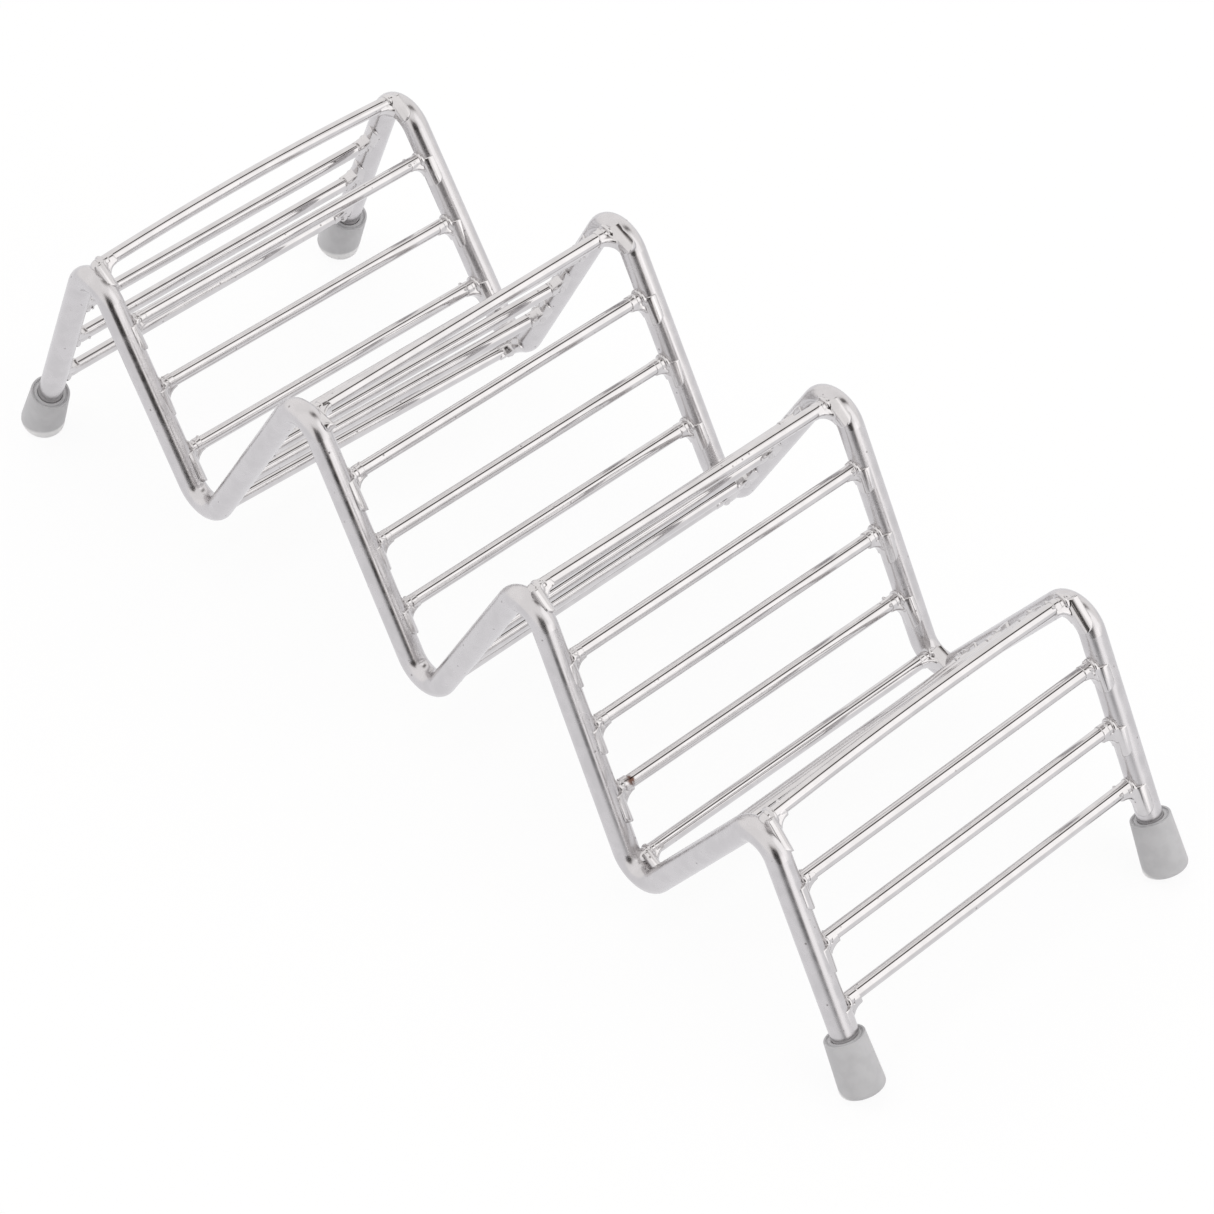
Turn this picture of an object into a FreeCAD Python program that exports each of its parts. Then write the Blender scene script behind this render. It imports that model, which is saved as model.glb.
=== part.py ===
"""Wire taco holder: two zigzag side rods joined by welded cross bars, on four rubber caps.

Millimetres. X runs along the row of tacos, Y along the cross bars, Z up. The origin is on
the table under the middle of the holder.
"""
import FreeCAD, Part

import math
import os

# Stock sizes
ROD_DIAMETER = 4.0
BAR_DIAMETER = 2.2

# Side rods: where the straight runs of the zigzag would meet if the bends were sharp
SIDE_ROD_SPACING = 61.8
BEND_RADIUS = 4.2
INNER_PEAK_SPREAD = 49.0
OUTER_PEAK_SPREAD = 150.0
OUTER_VALLEY_SPREAD = 97.0
LEFT_FOOT_OUT = 94.6
RIGHT_FOOT_OUT = 94.9
INNER_PEAK_HEIGHT = 53.0
OUTER_PEAK_HEIGHT = 45.0
INNER_VALLEY_HEIGHT = 9.0
OUTER_VALLEY_HEIGHT = 6.0

# The rods are bent by hand: how far each corner strays to the right and up, left to right
FRONT_STRAYS = ((-1.2, 3.4), (-3.0, 2.9), (-0.8, 1.3), (0.5, 0.2), (-0.1, -0.6), (-1.1, -1.3), (-1.8, -3.4))
BACK_STRAYS = ((-1.6, 1.5), (-0.9, -0.1), (-0.5, 1.0), (-0.2, -0.3), (-1.5, -2.1), (-2.6, -1.4), (-1.2, -0.9))

# Cross bars on the runs, left to right: top bar below the sharp peak
LEFT_LEG_BAR_BELOW_PEAK = 16.6
SLOT_BARS_BELOW_PEAKS = (12.8, 14.5, 15.0, 14.5, 14.3, 12.0)
RIGHT_LEG_BAR_BELOW_PEAK = 11.8

# Bottom bar above the sharp valley, or above the mouth of the cap
LEFT_LEG_BAR_ABOVE_CAP = 3.2
SLOT_BARS_ABOVE_VALLEYS = (12.8, 16.7, 14.7, 12.3, 15.6, 13.0)
RIGHT_LEG_BAR_ABOVE_CAP = 5.6
BAR_LEVELS = ("top", "middle", "bottom")

# Cross bars in the bends, left to right: to the right and up from the rod's middle line
FRONT_PEAK_BARS = ((-0.6, 1.7), (0.0, -0.7), (-0.3, 1.3), (-0.5, 1.7))
BACK_PEAK_BARS = ((-0.6, 1.6), (0.0, 0.2), (0.0, 0.5), (-1.0, 1.9))
FRONT_VALLEY_BARS = ((1.5, -0.7), (1.2, -1.2), (-0.9, 2.3))
BACK_VALLEY_BARS = ((0.4, -0.8), (1.2, -1.2), (0.0, 2.3))
PEAK_BAR_BOWS = (1.0, 0.0, 0.0, 1.0)
BAR_BITE = 0.6

# Weld metal at each bar end, drawn out along the rod towards the right-hand end
WELD_WIDTH = 2.0
WELD_THROAT_HEIGHT = 1.8
WELD_THROAT_REACH = 1.7
WELD_TAIL_LENGTH = 4.4
WELD_TAIL_THICKNESS = 0.35
WELD_COLLAR_WIDTH = 0.5
WELD_COLLAR_HEIGHT = 0.7

# Rubber caps on the four leg ends
CAP_LENGTH = 9.2
CAP_TOP_DIAMETER = 6.3
CAP_SOLE_DIAMETER = 7.1
CAP_FLOOR = 2.6
CAP_RIM_ROUNDING = 0.4
CAP_SOLE_ROUNDING = 0.9
CAP_MOUTH_GAP = 0.45
CAP_MOUTH_DEPTH = 0.6
SOLE_SQUASH = 0.35

# Worked out from the sizes above
ROD_RADIUS = ROD_DIAMETER / 2
BAR_RADIUS = BAR_DIAMETER / 2
CAP_SOLE_RADIUS = CAP_SOLE_DIAMETER / 2
CAP_TOP_RADIUS = CAP_TOP_DIAMETER / 2
CAP_SOCKET = CAP_LENGTH - CAP_FLOOR
FRONT = -SIDE_ROD_SPACING / 2
BACK = SIDE_ROD_SPACING / 2

# Straight runs between the sharp corners, left to right, with their top and bottom bars
RUN_NAMES = (
    "left_leg", "slot_1_left", "slot_1_right", "slot_2_left", "slot_2_right",
    "slot_3_left", "slot_3_right", "right_leg")
TOP_BARS = (LEFT_LEG_BAR_BELOW_PEAK, *SLOT_BARS_BELOW_PEAKS, RIGHT_LEG_BAR_BELOW_PEAK)
BOTTOM_BARS = (
    LEFT_LEG_BAR_ABOVE_CAP + CAP_SOCKET, *SLOT_BARS_ABOVE_VALLEYS, RIGHT_LEG_BAR_ABOVE_CAP + CAP_SOCKET)


def point(x, y, z):
    """A point or direction."""
    return FreeCAD.Vector(x, y, z)


def towards(start, end):
    """The direction from one point to another."""
    return (end - start).normalize()


class Leg:
    """The end of a side rod: a straight line from the outermost corner down to the table."""

    def __init__(self, side, foot_out, peak):
        ground = point(side * foot_out, 0, 0)
        up = towards(ground, peak)
        self.side = side
        self.lean = math.acos(up.z)
        # The cap's middle stands so high that its rounded edge is pressed flat on the table
        edge = CAP_SOLE_RADIUS - CAP_SOLE_ROUNDING
        height = edge * math.sin(self.lean) + CAP_SOLE_ROUNDING * (1 - up.z) - SOLE_SQUASH
        self.sole = ground + up * (height / up.z)
        self.rod_end = self.sole + up * CAP_FLOOR


def meant_corners():
    """The seven sharp corners as they are meant to be, left to right."""
    right = [
        point(INNER_PEAK_SPREAD / 2, 0, INNER_PEAK_HEIGHT),
        point(OUTER_VALLEY_SPREAD / 2, 0, OUTER_VALLEY_HEIGHT),
        point(OUTER_PEAK_SPREAD / 2, 0, OUTER_PEAK_HEIGHT),
    ]
    left = [point(-corner.x, 0, corner.z) for corner in reversed(right)]
    return left + [point(0, 0, INNER_VALLEY_HEIGHT)] + right


class Bend:
    """The arc that rounds one corner of the zigzag."""

    def __init__(self, before, corner, after):
        back = towards(corner, before)
        ahead = towards(corner, after)
        half_angle = back.getAngle(ahead) / 2
        reach = BEND_RADIUS / math.tan(half_angle)
        self.inwards = (back + ahead).normalize()
        self.rightwards = (ahead - back).normalize()
        self.start = corner + back * reach
        self.end = corner + ahead * reach
        self.middle = corner + self.inwards * (BEND_RADIUS / math.sin(half_angle) - BEND_RADIUS)

    def further_on(self, distance):
        """The point on the arc this far to the right of its middle."""
        half_turn = distance / BEND_RADIUS / 2
        chord = self.rightwards * math.cos(half_turn) + self.inwards * math.sin(half_turn)
        return self.middle + chord * (2 * BEND_RADIUS * math.sin(half_turn))


class SideRod:
    """One hand-bent zigzag rod with the places of its bars and caps."""

    def __init__(self, y, strays, peak_bars, valley_bars):
        corners = [corner + point(right, 0, up) for corner, (right, up) in zip(meant_corners(), strays)]
        self.y = y
        self.legs = {
            "left": Leg(-1, LEFT_FOOT_OUT, corners[0]),
            "right": Leg(1, RIGHT_FOOT_OUT, corners[-1]),
        }
        self.corners = [self.legs["left"].rod_end, *corners, self.legs["right"].rod_end]
        self.bends = [Bend(*self.corners[i - 1:i + 2]) for i in range(1, len(self.corners) - 1)]
        self.bend_bars = {"peak": peak_bars, "valley": valley_bars}
        self.shape = self.sweep()

    def sweep(self):
        """The round rod along its straight runs and the arcs that join them."""
        edges = []
        here = self.corners[0]
        for bend in self.bends:
            edges.append(Part.LineSegment(here, bend.start).toShape())
            edges.append(Part.Arc(bend.start, bend.middle, bend.end).toShape())
            here = bend.end
        edges.append(Part.LineSegment(here, self.corners[-1]).toShape())
        first = self.corners[0]
        ring = Part.Circle(first, towards(first, self.corners[1]), ROD_RADIUS).toShape()
        rod = Part.Wire(edges).makePipeShell([Part.Wire([ring])], True, False)
        rod.translate(point(0, self.y, 0))
        return rod

    def run_length(self, i):
        """Length of a straight run between its sharp corners."""
        return self.corners[i].distanceToPoint(self.corners[i + 1])

    def seat_on_run(self, i, below_peak):
        """Place of a bar on a straight run and the weld's direction there."""
        left, right = self.corners[i], self.corners[i + 1]
        peak, end = (left, right) if left.z > right.z else (right, left)
        place = peak + towards(peak, end) * below_peak
        return place, towards(left, right)

    def seat_in_bend(self, kind, i):
        """Place of the bar in a peak or valley and the weld's direction there."""
        bend = self.bends[2 * i + (kind == "valley")]
        right, up = self.bend_bars[kind][i]
        place = bend.middle + point(right, 0, up)
        return place, towards(place, bend.further_on(right + WELD_TAIL_LENGTH * 3 / 4))


def largest(shape):
    """The largest solid of a cut shape."""
    return max(shape.Solids, key=lambda solid: solid.Volume)


def cross_bar(seats, bow, rods):
    """A round bar whose ends bite into both rods' inner faces and are coped to sit on them."""
    reach = SIDE_ROD_SPACING / 2 - ROD_RADIUS + BAR_BITE
    front, back = (
        place + point(0, math.copysign(reach, rod.y), 0) for (place, along), rod in zip(seats, rods))
    if bow:
        path = Part.Arc(front, (front + back) / 2 + point(0, 0, bow), back).toShape()
    else:
        path = Part.LineSegment(front, back).toShape()
    ring = Part.Circle(front, path.tangentAt(path.FirstParameter), BAR_RADIUS).toShape()
    bar = Part.Wire([path]).makePipeShell([Part.Wire([ring])], True, False)
    return largest(bar.cut([rod.shape for rod in rods]))


def weld_blank():
    """Weld metal at a bar's end, before the rod and the bar are cut out of it.

    X runs along the rod, Y along the bar away from the rod, and the origin is where the
    bar's middle line meets the rod's surface.
    """
    root = -ROD_RADIUS / 2
    side = WELD_WIDTH / 2
    throat_top = point(BAR_RADIUS, WELD_THROAT_HEIGHT, -side)
    throat_end = point(BAR_RADIUS + WELD_THROAT_REACH, WELD_TAIL_THICKNESS, -side)
    hollow = (throat_top + throat_end) / 2 - point(1, 1, 0) * (WELD_THROAT_REACH / 5)
    corners = [
        throat_end,
        point(WELD_TAIL_LENGTH, WELD_TAIL_THICKNESS, -side),
        point(WELD_TAIL_LENGTH, root, -side),
        point(0, root, -side),
        point(0, WELD_THROAT_HEIGHT, -side),
        throat_top,
    ]
    outline = [Part.Arc(throat_top, hollow, throat_end).toShape()]
    for start, end in zip(corners, corners[1:]):
        outline.append(Part.LineSegment(start, end).toShape())
    fillet = Part.Face(Part.Wire(outline)).extrude(point(0, 0, WELD_WIDTH))
    # The tail ends in a half round, as melted metal does
    nose_start = WELD_TAIL_LENGTH - side
    depth = WELD_THROAT_HEIGHT - root
    plan = Part.makeBox(nose_start, depth, WELD_WIDTH, point(0, root, -side))
    nose = Part.makeCylinder(side, depth, point(nose_start, root, 0), point(0, 1, 0))
    collar = Part.makeCylinder(
        BAR_RADIUS + WELD_COLLAR_WIDTH, WELD_COLLAR_HEIGHT - root,
        point(0, root, 0), point(0, 1, 0))
    return fillet.common(plan.fuse(nose)).fuse(collar).removeSplitter()


def weld(blank, seat, rod, bar):
    """Weld metal between one side rod and the end of one bar."""
    place, along = seat
    inwards = point(0, -math.copysign(1, rod.y), 0)
    across = along.cross(inwards)
    seat = point(place.x, rod.y, place.z) + inwards * ROD_RADIUS
    turn = FreeCAD.Matrix(
        along.x, inwards.x, across.x, seat.x,
        along.y, inwards.y, across.y, seat.y,
        along.z, inwards.z, across.z, seat.z,
        0, 0, 0, 1)
    placed = blank.copy()
    placed.transformShape(turn)
    return largest(placed.cut([rod.shape, bar]))


def bar_seats(rods):
    """Name and bow of every cross bar, with its seat on each rod."""
    seats = []
    for i, name in enumerate(RUN_NAMES):
        length = sum(rod.run_length(i) for rod in rods) / len(rods)
        pitch = (length - TOP_BARS[i] - BOTTOM_BARS[i]) / (len(BAR_LEVELS) - 1)
        for j, level in enumerate(BAR_LEVELS):
            below_peak = TOP_BARS[i] + j * pitch
            seats.append((f"{name}_bar_{level}", 0, [rod.seat_on_run(i, below_peak) for rod in rods]))
    for kind, bows in (("peak", PEAK_BAR_BOWS), ("valley", [0] * len(FRONT_VALLEY_BARS))):
        for i, bow in enumerate(bows):
            seats.append((f"{kind}_bar_{i + 1}", bow, [rod.seat_in_bend(kind, i) for rod in rods]))
    return seats


def rim(body, height):
    """The round edge of a cap blank at this height."""
    return [edge for edge in body.Edges
            if isinstance(edge.Curve, Part.Circle) and abs(edge.CenterOfMass.z - height) < BAR_RADIUS]


def cap(leg, y):
    """The rubber cap on a leg end."""
    body = Part.makeCone(CAP_SOLE_RADIUS, CAP_TOP_RADIUS, CAP_LENGTH)
    body = body.makeFillet(CAP_SOLE_ROUNDING, rim(body, 0))
    body = body.makeFillet(CAP_RIM_ROUNDING, rim(body, CAP_LENGTH))
    bore = Part.makeCylinder(ROD_RADIUS, CAP_LENGTH, point(0, 0, CAP_FLOOR))
    mouth = Part.makeCylinder(
        ROD_RADIUS + CAP_MOUTH_GAP, CAP_LENGTH, point(0, 0, CAP_LENGTH - CAP_MOUTH_DEPTH))
    body = body.cut([bore, mouth])
    body.rotate(point(0, 0, 0), point(0, 1, 0), -leg.side * math.degrees(leg.lean))
    body.translate(point(leg.sole.x, y, leg.sole.z))
    table = Part.makeBox(
        4 * CAP_LENGTH, 4 * CAP_LENGTH, CAP_LENGTH,
        point(leg.sole.x - 2 * CAP_LENGTH, y - 2 * CAP_LENGTH, -CAP_LENGTH))
    return body.cut(table)


def build():
    """Every node by name."""
    rods = {
        "front": SideRod(FRONT, FRONT_STRAYS, FRONT_PEAK_BARS, FRONT_VALLEY_BARS),
        "back": SideRod(BACK, BACK_STRAYS, BACK_PEAK_BARS, BACK_VALLEY_BARS),
    }
    nodes = {}
    welds = {row: [] for row in rods}
    blank = weld_blank()
    for name, bow, seats in bar_seats(list(rods.values())):
        bar = cross_bar(seats, bow, list(rods.values()))
        nodes[name] = bar
        for (row, rod), seat in zip(rods.items(), seats):
            welds[row].append(weld(blank, seat, rod, bar))
    for row, rod in rods.items():
        nodes[f"side_rod_{row}"] = rod.shape
        nodes[f"weld_fillets_{row}"] = Part.makeCompound(welds[row])
        for side, leg in rod.legs.items():
            nodes[f"foot_{row}_{side}"] = cap(leg, rod.y)
    return nodes


def main():
    """Write one STEP file for each node."""
    os.makedirs("parts", exist_ok=True)
    for name, shape in build().items():
        shape.exportStep(f"parts/{name}.step")


main()
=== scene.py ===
"""Looks of a wire taco holder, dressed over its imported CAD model.

Metres. X runs along the row of slots, Y along the cross bars from the front side rod to the
back one, Z up from the table.
"""

import logging
import math
import random
from collections.abc import Callable
from dataclasses import dataclass
from enum import Enum

import bpy
from mathutils import Matrix, Vector

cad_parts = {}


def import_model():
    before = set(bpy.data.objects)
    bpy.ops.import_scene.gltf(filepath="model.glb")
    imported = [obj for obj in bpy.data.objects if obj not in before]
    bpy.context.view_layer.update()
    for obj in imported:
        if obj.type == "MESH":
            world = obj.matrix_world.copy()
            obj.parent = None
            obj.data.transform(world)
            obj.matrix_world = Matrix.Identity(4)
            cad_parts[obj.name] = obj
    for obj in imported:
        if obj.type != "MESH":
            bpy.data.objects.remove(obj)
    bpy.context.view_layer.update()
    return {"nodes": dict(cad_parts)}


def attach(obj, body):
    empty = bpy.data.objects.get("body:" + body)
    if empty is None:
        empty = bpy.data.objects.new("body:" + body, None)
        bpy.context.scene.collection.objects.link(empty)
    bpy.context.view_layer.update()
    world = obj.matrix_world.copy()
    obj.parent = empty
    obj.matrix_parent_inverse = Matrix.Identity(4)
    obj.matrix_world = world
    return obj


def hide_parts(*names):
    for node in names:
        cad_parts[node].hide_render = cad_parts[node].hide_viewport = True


LOG = logging.getLogger("taco_holder")
MM = 0.001
# Places nearer than this, in millimetres, count as the same
SAME = 0.01
QUARTER_TURN = math.radians(90)

Colour = tuple[float, float, float]
Place = tuple[float, float, float]


class Row(Enum):
    """Which side rod a piece belongs to; the value is the sign of its Y."""

    FRONT = -1
    BACK = 1


class Side(Enum):
    """Which end of the holder a piece belongs to; the value is the sign of its X."""

    LEFT = -1
    RIGHT = 1


# node helpers


class NodeSheet:
    """A node tree with short calls for adding and joining nodes."""

    def __init__(self, tree: bpy.types.NodeTree) -> None:
        """Keep the tree.

        Args:
            tree: The node tree to draw on.
        """
        self.tree = tree

    def add(self, kind: str, **settings: object) -> bpy.types.Node:
        """Add a node.

        Args:
            kind: Blender's name for the node's class.
            settings: Attributes to set on it.

        Returns:
            The new node.
        """
        node = self.tree.nodes.new(kind)
        for key, value in settings.items():
            setattr(node, key, value)
        return node

    def feed(self, source: object, socket: bpy.types.NodeSocket) -> None:
        """Join a socket to another socket, or set it to a plain value.

        Args:
            source: An output socket, a number, a vector or a colour.
            socket: The input socket it goes to.
        """
        if isinstance(source, bpy.types.NodeSocket):
            self.tree.links.new(source, socket)
        elif socket.type == "RGBA":
            socket.default_value = (*source, 1.0)
        else:
            socket.default_value = source

    def result(self, kind: str, *values: object, **settings: object) -> bpy.types.NodeSocket:
        """Add a node and fill its inputs in order.

        Args:
            kind: Blender's name for the node's class.
            values: What its first inputs get.
            settings: Attributes to set on it.

        Returns:
            Its first output.
        """
        node = self.add(kind, **settings)
        for value, socket in zip(values, node.inputs):
            self.feed(value, socket)
        return node.outputs[0]

    def math(self, operation: str, *values: object) -> bpy.types.NodeSocket:
        """Work out a sum from sockets or numbers.

        Args:
            operation: The Math node's operation.
            values: Its inputs in order.

        Returns:
            The result's socket.
        """
        return self.result("ShaderNodeMath", *values, operation=operation)

    def product(self, first: object, *others: object) -> bpy.types.NodeSocket:
        """Multiply sockets or numbers.

        Args:
            first: The first of them.
            others: The others.

        Returns:
            The product's socket.
        """
        for other in others:
            first = self.math("MULTIPLY", first, other)
        return first

    def ramp(self, value: object, start: float, end: float, low: float = 0.0,
             high: float = 1.0) -> bpy.types.NodeSocket:
        """Turn a value smoothly from one level into another.

        Args:
            value: The socket that is read.
            start: Where the result leaves its first level.
            end: Where it reaches its second level.
            low: The first level.
            high: The second level.

        Returns:
            The result's socket.
        """
        levels = (value, start, end, low, high)
        return self.result("ShaderNodeMapRange", *levels, interpolation_type="SMOOTHSTEP")

    def mix(self, factor: object, first: object, second: object) -> bpy.types.NodeSocket:
        """Mix two colours.

        Args:
            factor: How much of the second colour shows.
            first: The first colour.
            second: The second colour.

        Returns:
            The mixed colour's socket.
        """
        node = self.add("ShaderNodeMix", data_type="RGBA")
        for item, number in ((factor, 0), (first, 6), (second, 7)):
            self.feed(item, node.inputs[number])
        return node.outputs[2]

    def split(self, vector: object) -> tuple[bpy.types.NodeSocket, ...]:
        """Take a vector apart.

        Args:
            vector: The vector's socket.

        Returns:
            The sockets of its X, Y and Z.
        """
        node = self.add("ShaderNodeSeparateXYZ")
        self.feed(vector, node.inputs[0])
        return tuple(node.outputs)

    def level_length(self, x: object, y: object) -> bpy.types.NodeSocket:
        """Length of a level vector.

        Args:
            x: Its X.
            y: Its Y.

        Returns:
            The length's socket.
        """
        return self.math("SQRT", self.math("ADD", self.product(x, x), self.product(y, y)))

    def cosine(self, x: object, y: object, direction: tuple[float, float]) -> bpy.types.NodeSocket:
        """How well a level vector points in a direction.

        Args:
            x: The vector's X.
            y: The vector's Y.
            direction: X and Y of the direction, which is one unit long.

        Returns:
            The cosine of the angle between them.
        """
        along = self.math("ADD", self.product(x, direction[0]), self.product(y, direction[1]))
        return self.math("DIVIDE", along, self.math("MAXIMUM", self.level_length(x, y), 0.001))

    def noise(self, place: object, size: float, detail: float = 2.0) -> bpy.types.NodeSocket:
        """Smooth noise with lumps of one size.

        Args:
            place: The coordinates.
            size: Size of the lumps.
            detail: How many finer layers are added.

        Returns:
            A value around one half.
        """
        node = self.add("ShaderNodeTexNoise")
        for name, value in (("Vector", place), ("Scale", 1 / size), ("Detail", detail)):
            self.feed(value, node.inputs[name])
        return node.outputs["Fac"]

    def bump(self, height: object, strength: float, distance: float) -> bpy.types.NodeSocket:
        """Turn a height into a normal.

        Args:
            height: The height's socket.
            strength: How strongly it shows.
            distance: How high a height of one is.

        Returns:
            The normal's socket.
        """
        node = self.add("ShaderNodeBump")
        for name, value in (("Height", height), ("Strength", strength), ("Distance", distance)):
            self.feed(value, node.inputs[name])
        return node.outputs[0]

    def group(self, tree: bpy.types.NodeTree, place: object) -> bpy.types.Node:
        """Add a shared group.

        Args:
            tree: The group.
            place: The coordinates that it reads.

        Returns:
            The group's node.
        """
        node = self.add("ShaderNodeGroup", node_tree=tree)
        self.feed(place, node.inputs["Place"])
        return node


# effects shared by several finishes


class SteelSurface:
    """Shader group with the marks that all the steel shares."""

    mottle_size: float = 2.6 * MM
    grain_size: float = 0.22 * MM
    pit_pitch: float = 1.5 * MM
    pit_edge: tuple[float, float] = (0.07, 0.16)
    pitted_mottle: tuple[float, float] = (0.52, 0.60)
    grain_height: float = 0.06
    mottle_height: float = 0.9

    def __init__(self) -> None:
        """Build the group once."""
        self.tree = bpy.data.node_groups.new("steel_surface", "ShaderNodeTree")
        self.tree.interface.new_socket("Place", in_out="INPUT", socket_type="NodeSocketVector")
        for name in ("Mottle", "Pits", "Height"):
            self.tree.interface.new_socket(name, in_out="OUTPUT", socket_type="NodeSocketFloat")
        sheet = NodeSheet(self.tree)
        place = sheet.add("NodeGroupInput").outputs["Place"]
        mottle = sheet.noise(place, self.mottle_size, 3.0)
        grain = sheet.noise(place, self.grain_size)
        pits = self.pits(sheet, place, mottle)
        height = sheet.math("SUBTRACT", sheet.product(grain, self.grain_height), pits)
        height = sheet.math("ADD", height, sheet.product(mottle, self.mottle_height))
        output = sheet.add("NodeGroupOutput")
        for name, socket in (("Mottle", mottle), ("Pits", pits), ("Height", height)):
            sheet.feed(socket, output.inputs[name])

    def pits(self, sheet: NodeSheet, place: object, mottle: object) -> bpy.types.NodeSocket:
        """Small round pits, thinly scattered.

        Args:
            sheet: The group's node sheet.
            place: The coordinates.
            mottle: Slow noise that keeps the pits to a few places.

        Returns:
            1 inside a pit and 0 elsewhere.
        """
        cells = sheet.add("ShaderNodeTexVoronoi")
        sheet.feed(place, cells.inputs["Vector"])
        sheet.feed(1 / self.pit_pitch, cells.inputs["Scale"])
        dots = sheet.ramp(cells.outputs["Distance"], *self.pit_edge, 1.0, 0.0)
        return sheet.product(dots, sheet.ramp(mottle, *self.pitted_mottle))


class HeatTint:
    """Shader group with the brown halo that a hot weld leaves on steel."""

    edge_size: float = 0.8 * MM
    edge_depth: float = 1.4 * MM
    fade: tuple[float, float] = (1.1 * MM, 1.75 * MM)

    def __init__(self) -> None:
        """Build the group once."""
        self.tree = bpy.data.node_groups.new("heat_tint", "ShaderNodeTree")
        self.tree.interface.new_socket("Place", in_out="INPUT", socket_type="NodeSocketVector")
        self.tree.interface.new_socket("Middle", in_out="INPUT", socket_type="NodeSocketVector")
        self.tree.interface.new_socket("Mask", in_out="OUTPUT", socket_type="NodeSocketFloat")
        sheet = NodeSheet(self.tree)
        given = sheet.add("NodeGroupInput")
        away = sheet.add("ShaderNodeVectorMath", operation="DISTANCE")
        sheet.feed(given.outputs["Place"], away.inputs[0])
        sheet.feed(given.outputs["Middle"], away.inputs[1])
        edge = sheet.noise(given.outputs["Place"], self.edge_size)
        far = sheet.math("ADD", away.outputs["Value"], sheet.product(edge, self.edge_depth))
        output = sheet.add("NodeGroupOutput")
        sheet.feed(sheet.ramp(far, *self.fade, 1.0, 0.0), output.inputs["Mask"])


# finishes


@dataclass(frozen=True)
class SteelFinish:
    """Polished stainless steel with faint mottling, fine pits and a touch of heat tint."""

    name: str
    surface: SteelSurface
    tint: HeatTint
    colour: Colour
    roughness: float
    bump: float
    drawn: bool = False
    dulling: float = 0.93
    pit_colour: Colour = (0.16, 0.14, 0.14)
    tint_colour: Colour = (0.10, 0.04, 0.022)
    tinted_weld: Place = (40.8 * MM, -26.6 * MM, 20.0 * MM)
    line_width: float = 0.16 * MM
    line_length: float = 22 * MM
    line_height: float = 0.25
    bump_distance: float = 0.04 * MM

    def drawn_lines(self, sheet: NodeSheet, place: object) -> bpy.types.NodeSocket:
        """Fine lines along the cross bars, as drawn wire shows.

        Args:
            sheet: The material's node sheet.
            place: The coordinates.

        Returns:
            A value around one half.
        """
        stretch = sheet.add("ShaderNodeMapping")
        across, along = 1 / self.line_width, 1 / self.line_length
        sheet.feed((across, along, across), stretch.inputs["Scale"])
        sheet.feed(place, stretch.inputs["Vector"])
        return sheet.noise(stretch.outputs[0], 1.0)

    def material(self) -> bpy.types.Material:
        """Build the material.

        Returns:
            The finished material.
        """
        material = bpy.data.materials.new(self.name)
        material.use_nodes = True
        sheet = NodeSheet(material.node_tree)
        steel = material.node_tree.nodes["Principled BSDF"]
        place = sheet.add("ShaderNodeTexCoord").outputs["Object"]
        marks = sheet.group(self.surface.tree, place).outputs
        brown = sheet.group(self.tint.tree, place)
        sheet.feed(self.tinted_weld, brown.inputs["Middle"])
        dull = tuple(channel * self.dulling for channel in self.colour)
        tone = sheet.mix(sheet.ramp(marks["Mottle"], 0.35, 0.65), dull, self.colour)
        tone = sheet.mix(sheet.product(marks["Pits"], 0.6), tone, self.pit_colour)
        tone = sheet.mix(sheet.product(brown.outputs["Mask"], 0.95), tone, self.tint_colour)
        rough = sheet.ramp(marks["Mottle"], 0.3, 0.7, self.roughness * 0.8, self.roughness * 1.25)
        rough = sheet.math("ADD", rough, sheet.product(marks["Pits"], 0.3))
        height = marks["Height"]
        if self.drawn:
            lines = sheet.product(self.drawn_lines(sheet, place), self.line_height)
            height = sheet.math("ADD", height, lines)
        normal = sheet.bump(height, self.bump, self.bump_distance)
        for value, name in ((tone, "Base Color"), (rough, "Roughness"), (normal, "Normal")):
            sheet.feed(value, steel.inputs[name])
        sheet.feed(1.0, steel.inputs["Metallic"])
        return material


@dataclass(frozen=True)
class RubberFinish:
    """Soft grey rubber with a slight bloom, a fine moulded grain and painted light that makes it paler
    towards the sole.
    """

    name: str = "grey_rubber"
    colour: Colour = (0.50, 0.50, 0.51)
    bloom: Colour = (0.54, 0.54, 0.55)
    # Painted light: a pale colour towards the sole that lifts the shade where the foot faces down.
    sole_painted_light: Colour = (0.9, 0.9, 0.9)
    sole_painted_light_share: float = 0.85
    sole_painted_light_height: tuple[float, float] = (1.3 * MM, 2.1 * MM)
    bloom_size: float = 2.2 * MM
    grain_size: float = 0.18 * MM
    grain_bump: float = 0.25
    bump_distance: float = 0.03 * MM

    def material(self) -> bpy.types.Material:
        """Build the material.

        Returns:
            The finished material.
        """
        material = bpy.data.materials.new(self.name)
        material.use_nodes = True
        sheet = NodeSheet(material.node_tree)
        rubber = material.node_tree.nodes["Principled BSDF"]
        place = sheet.add("ShaderNodeTexCoord").outputs["Object"]
        cloud = sheet.noise(place, self.bloom_size)
        height_above_table = sheet.split(place)[2]
        # Painted light: the colour turns paler towards the sole and stands in for light on the shaded
        # underside.
        sole_painted_light_mask = sheet.ramp(height_above_table, *self.sole_painted_light_height, self.sole_painted_light_share, 0.0)
        tone = sheet.mix(sheet.ramp(cloud, 0.35, 0.65), self.colour, self.bloom)
        tone = sheet.mix(sole_painted_light_mask, tone, self.sole_painted_light)
        rough = sheet.ramp(cloud, 0.3, 0.7, 0.48, 0.62)
        normal = sheet.bump(sheet.noise(place, self.grain_size), self.grain_bump, self.bump_distance)
        for value, name in ((tone, "Base Color"), (rough, "Roughness"), (normal, "Normal")):
            sheet.feed(value, rubber.inputs[name])
        return material


# modelling helpers


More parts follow.
